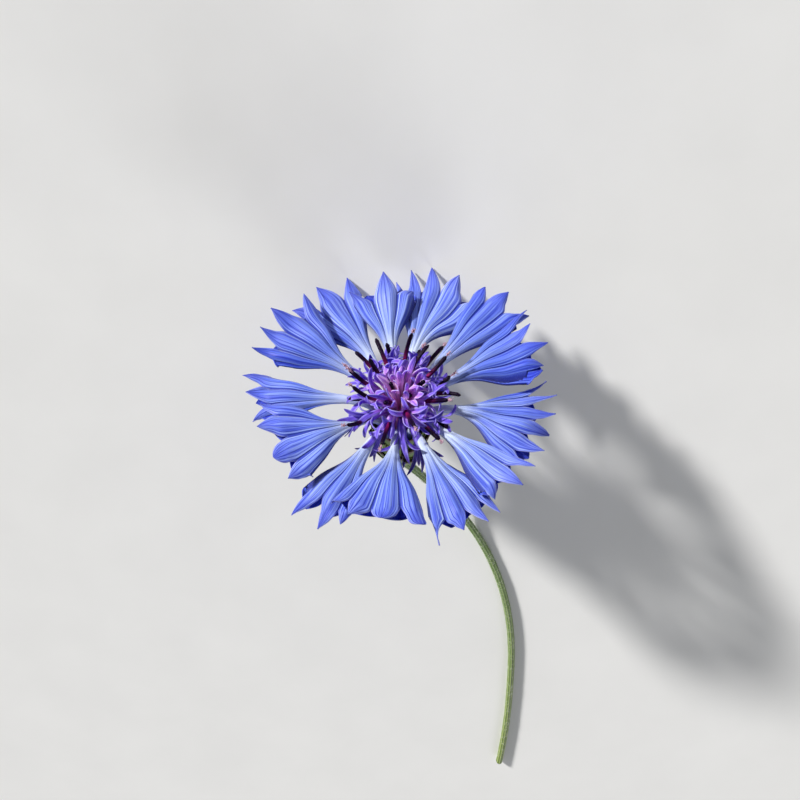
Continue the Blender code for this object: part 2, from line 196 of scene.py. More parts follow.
# The fine shape of a disc floret.
DISC_WALL = 0.11 * MM
DISC_TUBE_ROWS = 11
DISC_THROAT_ROWS = 7
DISC_LOBES = 5
DISC_LOBE_COLUMNS = 6
DISC_LOBE_ROWS = 14
DISC_LOBE_LENGTH = 3.3 * MM
DISC_LOBE_SHARES = (0.75, 1.08)  # the shares of that length that a lobe may have
DISC_LOBE_TIP_WIDTH = 0.02 * MM
DISC_WIDENING_POWER = 1.3
DISC_DROOP = math.radians(60)  # how much more the florets on the stem's side of the face lean out
HANGING_POWER = 1.9  # the more this is, the less of that droop the inner florets take
LEAST_OPEN = 0.4  # how open the middle florets are, where 1 is fully open
OPENING_START = 0.18  # the share of the disc's radius where the florets begin to be more open
OPENING_SPAN = 0.40  # the share of that radius over which they come to be fully open
BUD_SHARE = 0.40  # the florets inside this share of the radius have the anthers of a bud
HANGING_SLACK = 0.75  # the share of its lean and curl that a hanging floret's lobe loses
HANGING_LENGTH = 0.75  # how much longer that lobe is, as a share
CLOSED_LEAN = -8  # how far a closed floret's lobes lean out, in degrees
OPENING_LEAN = 40  # how much more an open floret's lobes lean out
CLOSED_CURL = -10  # how far a closed floret's lobes curl, in degrees
OPENING_CURL = 125  # how much more an open floret's lobes curl
BACKWARDS_SHARE = 0.25  # the share of the lobes that curl the other way
DISC_LOBE_SWAY = 36  # the most that a lobe goes to one side, in degrees
DISC_LOBE_TWIST = 75  # the most that its tip is twisted, in degrees
ANTHER_RADIUS = 0.31 * MM
ANTHER_ROWS = 18
ANTHER_COLUMNS = 20
ANTHER_FOOT = 1.6 * MM  # how far inside the throat the column begins
ANTHER_RIB_DEPTH = 0.1
ANTHER_WAIST = 0.28
ANTHER_BOW = 9 * MM  # the longer this is, the less a column bends
OPEN_ANTHERS = (3.2 * MM, 5.2 * MM)  # how far the column stands beyond the throat
BUD_ANTHERS = (0.6 * MM, 2.0 * MM)
OUTER_SHARE = 0.84  # beyond this share of the radius the columns are shorter, by the next factor
OUTER_ANTHERS = 0.62
STYLES_SHOWN = 0.45  # the share of the open florets whose style stands out of the anthers
STYLE_ROWS = 6
STYLE_COLUMNS = 8
POLLEN_GRAINS = 26
FLORET_STEP = 9.0  # sets the florets' patterns apart

# Stem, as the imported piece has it.
STEM_LENGTH = 96 * MM
STEM_RADIUS = 0.75 * MM
STEM_NECK_RADIUS = 1.45 * MM
STEM_NECK_LENGTH = 5 * MM
STEM_SWING = math.radians(34)
STEM_SWING_REACHED = 4 * MM
STEM_SWING_HELD = 14 * MM
STEM_SWING_BACK = 76 * MM
STEM_END_SWING = math.radians(-6)
STEM_CUT_SLANT = 0.45 * MM

# The fine shape of the stem.
STEM_SECTIONS = 360
STEM_SIDES = 64
STEM_RIBS = 8
STEM_RIB_DEPTH = 0.085
STEM_RIB_DRIFT = 31 * MM  # the length over which the ribs wander
STEM_UNEVENNESS = 0.02
STEM_UNEVEN_LENGTH = 7 * MM  # the length over which the radius varies
STEM_SLANTED = 2 * MM  # the slant of the cut fades over this length
# The rings of the cut: the share of the rim's radius, and the depth in millimetres.
CUT_RINGS = ((0.93, 0.0), (0.78, 0.02), (0.62, 0.12), (0.3, 0.2), (0.06, 0.16))
STEM_HAIRS = 1500
HAIR_JOINTS = 5
HAIR_RADIUS = 0.016 * MM

# The floor and the camera.
FLOOR_WIDTH = 40.0
VIEW_OFF_AXIS = math.radians(30)
VIEW_DISTANCE = 130 * MM
VIEW_HEIGHT_ON_AXIS = 19.5 * MM  # where the camera aims, along the head's axis from its foot
VIEW_SHIFT = -0.00625  # as a share of the picture's width
LENS = 39.195
SENSOR_WIDTH = 36.0

ATTRIBUTES = ("across", "along", "tone", "around")

random = np.random.default_rng(1907)
draw = random.uniform


# Meshes


class Skin:
    """A mesh under construction. Each point keeps four numbers that the materials read: its place
    across and along its surface, a tone, which on the florets also carries painted light and shade,
    and its place round the floret."""

    def __init__(self):
        self.points = []
        self.values = []
        self.faces = []
        self.count = 0

    def add(self, points, across, along, tone, around=0.0):
        """Adds an array of points and returns their indices, in the array's shape."""
        shape = points.shape[:-1]
        values = [np.broadcast_to(value, shape) for value in (across, along, tone, around)]
        self.points.append(points.reshape(-1, 3))
        self.values.append(np.stack(values, axis=-1).reshape(-1, len(ATTRIBUTES)))
        index = np.arange(self.count, self.count + points[..., 0].size).reshape(shape)
        self.count += index.size
        return index

    def grid(self, index, is_ring=False):
        """Faces between neighbouring rows and columns of an array of indices."""
        if is_ring:
            index = np.concatenate((index, index[:, :1]), axis=1)
        corners = (index[:-1, :-1], index[:-1, 1:], index[1:, 1:], index[1:, :-1])
        self.faces.extend(np.stack(corners, axis=-1).reshape(-1, 4).tolist())

    def cap(self, ring):
        """One face over a ring of indices."""
        self.faces.append(list(ring))

    def rod(self, rings, across, along, tone):
        """A tube over rings of points, closed at both ends."""
        index = self.add(rings, across, along, tone)
        self.grid(index, is_ring=True)
        self.cap(index[0])
        self.cap(index[-1])

    def build(self, name, material, wall=0.0):
        """The finished object, in the frame's coordinates. A wall thickens an open sheet."""
        points = np.concatenate(self.points)
        values = np.concatenate(self.values)
        mesh = bpy.data.meshes.new(name)
        mesh.from_pydata(points.tolist(), [], self.faces)
        for column, label in enumerate(ATTRIBUTES):
            layer = mesh.attributes.new(label, "FLOAT", "POINT")
            layer.data.foreach_set("value", values[:, column].astype(np.float32))
        if not wall:
            shape = bmesh.new()
            shape.from_mesh(mesh)
            bmesh.ops.recalc_face_normals(shape, faces=shape.faces)
            shape.to_mesh(mesh)
            shape.free()
        mesh.shade_smooth()
        mesh.materials.append(material)
        piece = put_in_scene(name, mesh)
        if wall:
            thickness = piece.modifiers.new("wall", "SOLIDIFY")
            thickness.thickness = wall
            thickness.offset = 0
        return piece


def smooth(value):
    """0 below 0, 1 above 1, and an even change between them."""
    value = np.clip(value, 0, 1)
    return value * value * (3 - 2 * value)


def unit(vectors):
    return vectors / np.linalg.norm(vectors, axis=-1, keepdims=True)


def towards(first, second, angle):
    """The direction, or coordinate, at an angle from the first one towards the second."""
    return np.cos(angle) * first + np.sin(angle) * second


def ring_angles(count):
    return np.arange(count) * (2 * math.pi / count)


def rings_round(centres, upper, side, radius, angles):
    """Rings of points round some centres, in the plane of two directions. The radius has one row
    for each centre, and one column or a column for each angle."""
    outward = towards(upper[..., None, :], side[..., None, :], angles[:, None])
    return centres[..., None, :] + radius[..., None] * outward


def put_in_scene(name, data):
    thing = bpy.data.objects.new(name, data)
    bpy.context.scene.collection.objects.link(thing)
    return thing


def bent_path(along, start_lean, end_lean, bend_start, bend_end):
    """A path that starts straight, bends on an arc and goes on straight, in its own plane.

    Returns how far out and how high it is, and its lean from the vertical, at each distance."""
    radius = (bend_end - bend_start) / (end_lean - start_lean)
    in_bend = np.clip(along, bend_start, bend_end)
    lean = start_lean + (in_bend - bend_start) / radius
    before = np.minimum(along, bend_start)
    after = np.maximum(along - bend_end, 0)
    out = before * math.sin(start_lean) + radius * (math.cos(start_lean) - np.cos(lean))
    high = before * math.cos(start_lean) + radius * (np.sin(lean) - math.sin(start_lean))
    return out + after * np.sin(lean), high + after * np.cos(lean), lean


# The head's place


def receptacle_radius(height):
    share = np.clip(height / RECEPTACLE_SHOULDER, 0, 1)
    swell = RECEPTACLE_RADIUS - RECEPTACLE_FOOT_RADIUS
    return RECEPTACLE_FOOT_RADIUS + swell * np.sin(share * math.pi / 2) ** RECEPTACLE_ROUNDING


def dome_height(radius):
    drop = RECEPTACLE_HEIGHT - RECEPTACLE_SHOULDER
    return RECEPTACLE_HEIGHT - drop * (radius / RECEPTACLE_RADIUS) ** 2


HEAD_TILT = np.array(Matrix.Rotation(math.pi / 2 - FACE_ELEVATION, 3, "X"))
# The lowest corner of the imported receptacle's box is set by its shoulder and, in height, its foot.
SHOULDER_EDGE = HEAD_TILT @ (-RECEPTACLE_RADIUS, -RECEPTACLE_RADIUS, RECEPTACLE_SHOULDER)
FOOT_EDGE = HEAD_TILT @ (0, -RECEPTACLE_FOOT_RADIUS, 0)
HEAD_FOOT = np.array(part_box("receptacle")[0]) - (*SHOULDER_EDGE[:2], FOOT_EDGE[2])


def in_frame(points):
    """Head coordinates as the frame's coordinates."""
    return points @ HEAD_TILT.T + HEAD_FOOT


def floret_in_frame(points, turn, radius):
    """The frame's coordinates of points in a floret's own plane. The floret stands at a radius from
    the head's axis and is turned round it."""
    cosine, sine = math.cos(turn), math.sin(turn)
    x, y, z = points[..., 0], points[..., 1], points[..., 2]
    turned = np.stack((x * cosine - y * sine, x * sine + y * cosine, z), axis=-1)
    return in_frame(turned + np.array((radius * cosine, radius * sine, dome_height(radius) + GAP)))


# Ray florets


def pleat_wave(in_lobe, skew):
    """Height of a pleat across a lobe: a ridge, with a groove at each of the lobe's edges."""
    left = (skew - in_lobe) / (1 + skew)
    right = (in_lobe - skew) / (1 - skew)
    return RIDGE_HEIGHT - np.where(in_lobe < skew, left, right) ** RIDGE_SHARPNESS


def around_coordinate(direction, side):
    """A place round the funnel that differs between its upper and its lower sheet."""
    return direction / 10 + 40 * (1 - side)


class RayFloret:
    """The funnel of one ray floret: where its surface lies, before it is turned to its place."""

    def __init__(self, azimuth, rise, roll, length, fused, lower_turn, painted_lightness, lobes):
        self.length = length * MM
        self.roll = math.radians(roll)
        self.end_lean = math.pi / 2 - math.radians(rise)
        self.turn = math.radians(270 - azimuth)
        self.phase = draw(0, 2 * math.pi)
        self.sinus = fused * self.length
        self.painted_lightness = painted_lightness
        self.lobes = self.all_lobes(lobes, lower_turn)
        self.first, self.last = self.lobes[0][0][0], self.lobes[len(lobes) - 1][0][2]
        spread = draw(-SINUS_SPREAD, SINUS_SPREAD, len(self.lobes)) * self.length
        self.partings = self.sinus + np.append(spread, spread[0])

    @staticmethod
    def all_lobes(lobes, lower_turn):
        """Each lobe's (edge, middle, edge), reach, style and side, once round the funnel."""
        middles = [direction for direction, _, _ in lobes]
        between = [(one + other) / 2 for one, other in zip(middles, middles[1:])]
        first = middles[0] - SIDE_MARGIN * (between[0] - middles[0])
        last = middles[-1] + SIDE_MARGIN * (middles[-1] - between[-1])
        edges = [first, *between, last]
        upper = [
            ((left, middle, right), reach, style, 1)
            for left, (middle, reach, style), right in zip(edges, lobes, edges[1:])
        ]
        ends = np.linspace(last, first, len(LOWER_LOBES) + 1) + lower_turn
        lower = [
            ((left, (left + right) / 2, right), reach, style, -1)
            for left, (reach, style), right in zip(ends, LOWER_LOBES, ends[1:])
        ]
        return upper + lower

    def across(self, direction):
        """-1 at one side edge of the limb and 1 at the other."""
        return np.clip(2 * (direction - self.first) / (self.last - self.first) - 1, -1, 1)

    def pleat(self, beyond, in_lobe, direction, skew):
        """Lift of the fused limb, which fades towards the throat and the limb's side edges."""
        grown = np.clip(beyond / self.sinus, 0, 1)
        edge_fade = 1 - np.abs(self.across(direction)) ** 10
        return PLEAT_DEPTH * grown * pleat_wave(in_lobe, skew) * edge_fade

    def points(self, beyond, direction, side, lift):
        """The frame's coordinates of points at a distance beyond the throat, in a direction in
        degrees, lifted off the sheet. None of them is below the floor."""
        in_limb = np.maximum(beyond, 0)
        opened = np.clip(in_limb / self.length, 0, 1)
        flat = np.clip(opened / FLATTENED_BY, 0, 1)
        across = self.across(direction)
        wave = np.sin(2 * math.pi * in_limb / RUMPLE_LENGTH + direction / RUMPLE_TURN + self.phase)
        turn = math.pi / 2 * (1 - across)
        width_share = np.cos(turn) * (1 - flat) + across * flat
        flat_depth = np.sqrt(1 - np.abs(across) ** SECTION_POWER)
        depth_share = np.sin(turn) * (1 - flat) + flat_depth * flat
        tube_share = np.clip(1 + beyond / RAY_TUBE_LENGTH, 0, 1) ** 2
        half_width = RAY_TUBE_RADIUS + (RAY_THROAT_RADIUS - RAY_TUBE_RADIUS) * tube_share
        opening = (RAY_HALF_DEPTH - RAY_THROAT_RADIUS) * np.sin(opened * math.pi / 2)
        angle = np.radians(direction * (1 - FLARE * (1 - smooth(opened / FLARED_BY))))
        sideways = half_width * width_share + in_limb * np.sin(angle)
        upwards = ((half_width + opening) * depth_share + lift) * side + RUMPLE * opened * wave
        turned = self.roll * opened
        aside = towards(sideways, upwards, -turned)
        up = towards(upwards, sideways, turned) - RAY_ARCH * opened**2
        along = RAY_TUBE_LENGTH + np.minimum(beyond, 0) + in_limb * np.cos(angle)
        out, high, lean = bent_path(
            along, RAY_START_LEAN, self.end_lean, RAY_BEND_START, RAY_TUBE_LENGTH
        )
        own = np.stack((out - up * np.cos(lean), -aside, high + up * np.sin(lean)), axis=-1)
        placed = floret_in_frame(own, self.turn, RAY_FOOT_RADIUS)
        placed[..., 2] = np.maximum(placed[..., 2], PETAL_WALL)
        return placed


def add_fused_part(skin, floret, tones, skews):
    """The tube and the joined part of the limb. Returns the indices of its outermost ring."""
    local = np.linspace(-1, 1, LOBE_COLUMNS, endpoint=False)
    in_lobe = np.tile(local, len(floret.lobes))
    direction = np.concatenate(
        [np.interp(local, (-1, 0, 1), sector) for sector, _, _, _ in floret.lobes]
    )
    side = np.repeat([lobe[3] for lobe in floret.lobes], LOBE_COLUMNS)
    tone = np.repeat(tones, LOBE_COLUMNS)
    skew = np.repeat(skews, LOBE_COLUMNS)
    parting = np.concatenate(
        [np.interp(local, (-1, 1), ends) for ends in zip(floret.partings, floret.partings[1:])]
    )
    tube = np.linspace(-1, 0, TUBE_ROWS, endpoint=False)[:, None]
    limb = np.linspace(0, 1, FUSED_ROWS)[:, None]
    beyond = np.vstack((tube * RAY_TUBE_LENGTH + 0 * parting, limb * parting))
    points = floret.points(beyond, direction, side, floret.pleat(beyond, in_lobe, direction, skew))
    along = np.vstack((tube, limb * PARTED))
    index = skin.add(points, np.abs(in_lobe), along, tone, around_coordinate(direction, side))
    skin.grid(index, is_ring=True)
    return index[-1]


def add_free_lobe(skin, floret, place, edge_ring, tone, skew):
    """One lobe beyond the sinus, joined to the fused part along a stretch of its outermost ring."""
    sector, reach, style, side = floret.lobes[place]
    side_power, tip_power, swell, left_fold, right_fold, curl = LOBE_STYLES[style]
    in_lobe = np.linspace(-1, 1, LOBE_COLUMNS + 1)
    share = np.linspace(0, 1, FREE_ROWS + 1)[1:, None] ** 0.9
    sinus = np.interp(in_lobe, (-1, 1), floret.partings[place : place + 2])
    free_length = reach * floret.length - sinus
    middle = sector[1] + draw(-LOBE_DRIFT, LOBE_DRIFT) * share**1.6
    straight_in = np.interp(in_lobe, (-1, 0, 1), sector)
    half = np.abs(straight_in - sector[1])
    body = (1 + swell * np.sin(math.pi * share)) * (1 - share**side_power) ** tip_power
    bend = math.radians(curl + draw(-CURL_SPREAD, CURL_SPREAD))
    beyond = sinus + free_length * np.sin(bend * share) / bend
    rise = free_length * (1 - np.cos(bend * share)) / bend
    fold = np.radians(np.where(in_lobe < skew, left_fold, right_fold))
    freed = smooth(share / FREED_BY)
    narrowing = body * sinus / beyond * np.cos(fold * freed)
    tip_width = LOBE_TIP_WIDTH / (floret.sinus * math.radians(max(half.max(), 1)))
    spread = np.sign(in_lobe) * half * np.maximum(narrowing, tip_width)
    direction = middle + spread * (1 if sector[2] > sector[0] else -1)
    fused_lift = floret.pleat(sinus, in_lobe, straight_in, skew)
    half_width = np.radians(half) * sinus * body
    free_lift = half_width * np.sin(fold) * pleat_wave(in_lobe, skew)
    ripple = RIPPLE * np.sin(10 * share + draw(0, 6)) * in_lobe**3 * body
    lift = fused_lift * (1 - freed) + (free_lift + ripple) * freed + rise * side
    points = floret.points(beyond, direction, side, lift)
    along = PARTED + (1 - PARTED) * share
    index = skin.add(points, np.abs(in_lobe), along, tone, around_coordinate(straight_in, side))
    skin.grid(np.vstack((edge_ring, index)))


def stretch(ring, place, columns):
    """The part of a ring that one lobe of some columns joins, both its ends included."""
    return np.take(ring, np.arange(place * columns, (place + 1) * columns + 1), mode="wrap")


def make_ray_florets(material):
    for number, row in enumerate(RAY_FLORETS, start=1):
        floret = RayFloret(*row)
        skin = Skin()
        side = np.array([lobe[3] for lobe in floret.lobes])
        # Each upper lobe's tone is the floret's painted light, varied at random; the lower sheet's
        # tone is painted shade.
        lobe_tones = floret.painted_lightness + draw(-TONE_SPREAD, TONE_SPREAD, side.size)
        tones = np.where(side > 0, lobe_tones, LOWER_SHEET_SHADE)
        skews = draw(-RIDGE_SKEW, RIDGE_SKEW, side.size)
        outer = add_fused_part(skin, floret, tones, skews)
        for place, (tone, skew) in enumerate(zip(tones, skews)):
            edge_ring = stretch(outer, place, LOBE_COLUMNS)
            add_free_lobe(skin, floret, place, edge_ring, tone, skew)
        piece = skin.build(f"ray_corolla_{number:02d}", material, PETAL_WALL)
        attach(piece, "root")
        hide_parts(f"ray_floret_{number:02d}")


# Disc florets


class DiscFloret:
    """The axis of one disc floret, and the frame of directions that travels along it."""

    def __init__(self, number):
        self.radius = DISC_PITCH * math.sqrt(number + 0.5)
        self.share_out = self.radius / (DISC_PITCH * math.sqrt(DISC_FLORETS))
        self.turn = number * GOLDEN_ANGLE
        self.hanging = max(0.0, math.sin(self.turn)) * self.share_out**HANGING_POWER
        opening = smooth((self.share_out - OPENING_START) / OPENING_SPAN)
        self.openness = LEAST_OPEN + (1 - LEAST_OPEN) * opening

    def to_frame(self, points):
        return floret_in_frame(points, self.turn, self.radius)

    def axis(self, along):
        """Centre, forward, upper and side directions at distances along the floret."""
        end_lean = DISC_START_LEAN + DISC_END_LEAN * self.share_out + DISC_DROOP * self.hanging
        lean = (DISC_START_LEAN * self.share_out, end_lean)
        out, high, tilt = bent_path(np.asarray(along, float), *lean, DISC_BEND_START, DISC_THROAT)
        zero = np.zeros_like(out)
        centre = np.stack((out, zero, high), axis=-1)
        forward = np.stack((np.sin(tilt), zero, np.cos(tilt)), axis=-1)
        upper = np.stack((np.cos(tilt), zero, -np.sin(tilt)), axis=-1)
        side = np.stack((zero, zero + 1, zero), axis=-1)
        return centre, forward, upper, side


def add_disc_tube(skin, floret, tone, around):
    """The slender tube and the wider throat. Returns the last ring's indices and its radius."""
    along = np.concatenate((
        np.linspace(0, DISC_TUBE_LENGTH, DISC_TUBE_ROWS, endpoint=False),
        np.linspace(DISC_TUBE_LENGTH, DISC_THROAT, DISC_THROAT_ROWS),
    ))[:, None]
    reached = smooth((along - DISC_BEND_START) / (DISC_THROAT - DISC_BEND_START))
    throat_radius = DISC_THROAT_RADIUS * (1.15 + 0.40 * (1 - floret.openness))
    radius = DISC_TUBE_RADIUS + (throat_radius - DISC_TUBE_RADIUS) * reached**DISC_WIDENING_POWER
    centre, _, upper, side = floret.axis(along[:, 0])
    angles = ring_angles(DISC_LOBES * DISC_LOBE_COLUMNS)
    rings = rings_round(centre, upper, side, radius, angles)
    across = np.tile(np.abs(np.linspace(-1, 1, DISC_LOBE_COLUMNS, endpoint=False)), DISC_LOBES)
    index = skin.add(floret.to_frame(rings), across, along / DISC_THROAT - 1, tone, around)
    skin.grid(index, is_ring=True)
    return index[-1], radius[-1, 0]


def add_disc_lobe(skin, floret, middle, throat_radius, edge_ring, tone, around):
    """One narrow lobe, which leans, curls, sways and twists in its own way."""
    centre, forward, upper, side = floret.axis(DISC_THROAT)
    outward = towards(upper, side, middle)
    lateral = towards(upper, side, middle + math.pi / 2)
    share = np.linspace(0, 1, DISC_LOBE_ROWS + 1)[1:, None]
    spread = floret.openness * (1 - HANGING_SLACK * floret.hanging)
    length = DISC_LOBE_LENGTH * draw(*DISC_LOBE_SHARES) * (0.70 + 0.30 * floret.openness)
    length = length * (1 + HANGING_LENGTH * floret.hanging**2)
    lean = math.radians(CLOSED_LEAN + OPENING_LEAN * spread + draw(-10, 14))
    curl = math.radians((CLOSED_CURL + OPENING_CURL * spread) * draw(0.2, 1.75))
    if draw() < BACKWARDS_SHARE:
        curl = -0.7 * curl
    sway = math.radians(draw(-DISC_LOBE_SWAY, DISC_LOBE_SWAY))
    angle = lean + curl * share**1.3
    step = length / DISC_LOBE_ROWS
    midline = (
        centre
        + throat_radius * outward
        + np.cumsum(np.cos(angle), axis=0) * step * forward
        + np.cumsum(np.sin(angle), axis=0) * step * outward
        + length * math.tan(sway) * 0.5 * share**2 * lateral
    )
    facing = towards(outward, forward, -angle)
    twist = math.radians(draw(-DISC_LOBE_TWIST, DISC_LOBE_TWIST)) * share
    half_lobe = math.pi / DISC_LOBES
    outline = (1 + 0.12 * np.sin(math.pi * share)) * (1 - share**5) ** 0.85
    half_width = throat_radius * math.sin(half_lobe) * outline + DISC_LOBE_TIP_WIDTH
    hollow = throat_radius * (1 - math.cos(half_lobe)) * (1 - 0.9 * share**2)
    in_lobe = np.linspace(-1, 1, DISC_LOBE_COLUMNS + 1)
    points = (
        midline[:, None, :]
        + (half_width * in_lobe)[..., None] * towards(lateral, facing, twist)[:, None, :]
        - (hollow * in_lobe**2)[..., None] * towards(facing, lateral, -twist)[:, None, :]
    )
    index = skin.add(floret.to_frame(points), np.abs(in_lobe), share, tone, around)
    skin.grid(np.vstack((edge_ring, index)))


def make_disc_corolla(floret, number, material):
    """A slender tube, a wider throat and five narrow curling lobes."""
    skin = Skin()
    draw()  # unused: it keeps the order of the draws after it
    # The tone darkens the florets outwards, and more on those that hang on the stem's side, as
    # painted shade; a little of it is random.
    tone = floret.share_out + 0.35 * floret.hanging + draw(-0.12, 0.12)
    around = FLORET_STEP * number
    rim, throat_radius = add_disc_tube(skin, floret, tone, around)
    for lobe in range(DISC_LOBES):
        middle = (lobe + 0.5) * 2 * math.pi / DISC_LOBES
        edge_ring = stretch(rim, lobe, DISC_LOBE_COLUMNS)
        add_disc_lobe(skin, floret, middle, throat_radius, edge_ring, tone, around + lobe)
    piece = skin.build(f"disc_corolla_{number:02d}", material, DISC_WALL)
    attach(piece, "root")
    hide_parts(f"disc_floret_{number:02d}")


def add_grain(skin, centre, radius, tone):
    """A small eight-sided grain."""
    corners = np.array(((1, 0, 0), (0, 1, 0), (-1, 0, 0), (0, -1, 0), (0, 0, 1), (0, 0, -1)))
    *waist, top, bottom = skin.add(centre + radius * corners, 0.0, 1.5, tone).tolist()
    for first, second in zip(waist, waist[1:] + waist[:1]):
        skin.faces.append([first, second, top])
        skin.faces.append([second, first, bottom])


def add_style(skin, floret, midline, upper, side, tone):
    """The tip of the style, which stands out of the anthers, with pollen round it."""
    tip = midline[-1]
    ahead = unit(tip - midline[-2])
    length = draw(0.5, 1.3) * MM
    share = np.linspace(0, 1, STYLE_ROWS)[:, None]
    radius = (0.09 + 0.06 * np.sin(share * 2.6)) * MM
    centres = tip + share * length * ahead
    rings = rings_round(centres, upper, side, radius, ring_angles(STYLE_COLUMNS))
    skin.rod(floret.to_frame(rings), 0.0, 1.3, tone)
    for _ in range(POLLEN_GRAINS):
        off = unit(random.normal(size=3)) * draw(0.10, 0.40) * MM
        spot = tip + ahead * length * draw(0.5, 1.1) + off
        add_grain(skin, floret.to_frame(spot), draw(0.07, 0.12) * MM, tone)


def make_anthers(floret, number, material):
    """The dark column of five joined anthers, which bends to one side. Some show the style."""
    skin = Skin()
    is_open = floret.share_out > BUD_SHARE
    length = draw(*(OPEN_ANTHERS if is_open else BUD_ANTHERS))
    if floret.share_out > OUTER_SHARE:
        length = length * OUTER_ANTHERS
    centre, forward, upper, side = floret.axis(DISC_THROAT)
    share = np.linspace(0, 1, ANTHER_ROWS)[:, None]
    way = share * (length + ANTHER_FOOT) - ANTHER_FOOT
    heading = draw(0, 2 * math.pi)
    bend = math.radians(draw(2, 42))
    bow = np.maximum(way, 0) ** 2 * math.tan(bend) / ANTHER_BOW
    midline = centre + way * forward + bow * towards(upper, side, heading)
    angles = ring_angles(ANTHER_COLUMNS)
    ribs = np.cos(5 * angles)
    waist = 1 - ANTHER_WAIST * (1 - smooth(share * 2.2))
    rounding = np.sqrt(1 - np.clip((share - 0.93) / 0.075, 0, 1) ** 2)
    radius = ANTHER_RADIUS * waist * rounding * (1 + ANTHER_RIB_DEPTH * ribs)
    tone = draw(0, 1)
    rings = rings_round(midline, upper, side, radius, angles)
    skin.rod(floret.to_frame(rings), ribs, share, tone)
    if is_open and draw() < STYLES_SHOWN:
        add_style(skin, floret, midline, upper, side, tone)
    piece = skin.build(f"anther_column_{number:02d}", material)
    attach(piece, "root")


def make_disc_florets(corolla_material, anther_material):
    for number in range(DISC_FLORETS):
        floret = DiscFloret(number)
        make_disc_corolla(floret, number + 1, corolla_material)
        make_anthers(floret, number + 1, anther_material)


# Bracts


def bract_row_inside(height, foot_height):
    """Inner radius of a row of bracts, which lies on the receptacle at its foot and leans out."""
    above = np.clip((height - RECEPTACLE_SHOULDER) / (MOUTH_HEIGHT - RECEPTACLE_SHOULDER), 0, 1)
    lean = BRACT_LEAN * (height - foot_height)
    return receptacle_radius(height) + GAP - MOUTH_PINCH * above + lean


def bract_surface(across, up, foot_height, middle):
    """Points on a bract's outer face, across from -1 to 1 and up from its foot, 0, to its tip, 1."""
    height = foot_height + up * BRACT_LENGTH + 0 * across
    narrowed = np.clip((up - BRACT_SHOULDER) / (1 - BRACT_SHOULDER), 0, 1)
    outline = 1 - narrowed**BRACT_TIP_POWER
    angle = middle + across * (math.pi / BRACTS_IN_ROW) * BRACT_WIDTH * np.maximum(outline, 0.02)
    keel = BRACT_KEEL * (1 - np.abs(across) ** 1.6) * (0.4 + 0.6 * outline)
    lift = BRACT_LIFT + keel + BRACT_LAP * across * outline + BRACT_FLARE * up**5
    radius = bract_row_inside(height, foot_height) + lift
    return np.stack((radius * np.cos(angle), radius * np.sin(angle), height), axis=-1)


def add_fringe(skin, foot_height, middle, tone):
    """Comb teeth along a bract's upper margins."""
    for edge in (-1, 1):
        across = edge * np.array((1.05, 1.05, 1.5, 1.5, 2.0))
        for up in np.linspace(FRINGE_START, FRINGE_START + FRINGE_SPAN, FRINGE_TEETH):
            root = np.array((up - FRINGE_HALF_TOOTH, up + FRINGE_HALF_TOOTH))
            base = bract_surface(edge * 0.97, root, foot_height, middle)
            inner = bract_surface(edge * 0.6, up - 0.1, foot_height, middle)
            foot = base.mean(axis=0)
            tip = foot + unit(foot - inner) * draw(*FRINGE_LENGTHS)
            points = np.vstack((base, (base + tip) / 2, tip))
            index = skin.add(in_frame(points), across, up, tone).tolist()
            skin.faces.append([index[0], index[1], index[3], index[2]])
            skin.faces.append([index[2], index[3], index[4]])


def make_bract_rows(material):
    last_foot = MOUTH_HEIGHT - BRACT_LENGTH
    across = np.linspace(-1, 1, BRACT_COLUMNS)
    up = np.linspace(0, 1, BRACT_POINT_ROWS)[:, None]
    for row, foot_height in enumerate(np.linspace(FIRST_ROW_HEIGHT, last_foot, BRACT_ROWS)):
        skin = Skin()
        for bract in range(BRACTS_IN_ROW):
            middle = (bract + 0.5 + (row % 2) / 2) * 2 * math.pi / BRACTS_IN_ROW
            tone = draw(0, 1)
            points = bract_surface(across, up, foot_height, middle)
            skin.grid(skin.add(in_frame(points), across, up, tone))
            add_fringe(skin, foot_height, middle, tone)
        piece = skin.build(f"bracts_{row + 1}", material, BRACT_WALL)
        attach(piece, "root")
        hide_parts(f"phyllary_row_{row + 1}")


# Stem


def stem_swing(along):
    """Direction of the stem over the surface, from +Y towards -X, at distances from the head."""
    reached = np.clip(along / STEM_SWING_REACHED, 0, 1)
    back = np.clip((along - STEM_SWING_HELD) / (STEM_SWING_BACK - STEM_SWING_HELD), 0, 1)
    end = np.maximum(along - STEM_SWING_BACK, 0) / (STEM_LENGTH - STEM_SWING_BACK)
    return STEM_SWING * reached * (1 + np.cos(math.pi * back)) / 2 + STEM_END_SWING * end


def stem_path():
    """Distances, points and directions along the stem, from the head's foot to the cut."""
    drop = HEAD_FOOT[2] - STEM_RADIUS
    bend_length = drop * FACE_ELEVATION / (1 - math.cos(FACE_ELEVATION))
    step = STEM_LENGTH / STEM_SECTIONS
    along = np.arange(STEM_SECTIONS + 1) * step
    descent = FACE_ELEVATION * np.maximum(1 - (along + step / 2) / bend_length, 0)
    swing = stem_swing(along + step / 2)
    level = np.cos(descent)
    headings = np.stack((-np.sin(swing) * level, np.cos(swing) * level, -np.sin(descent)), axis=-1)
    passed = np.cumsum(headings, axis=0) - headings
    return along[:, None], HEAD_FOOT + step * passed, headings


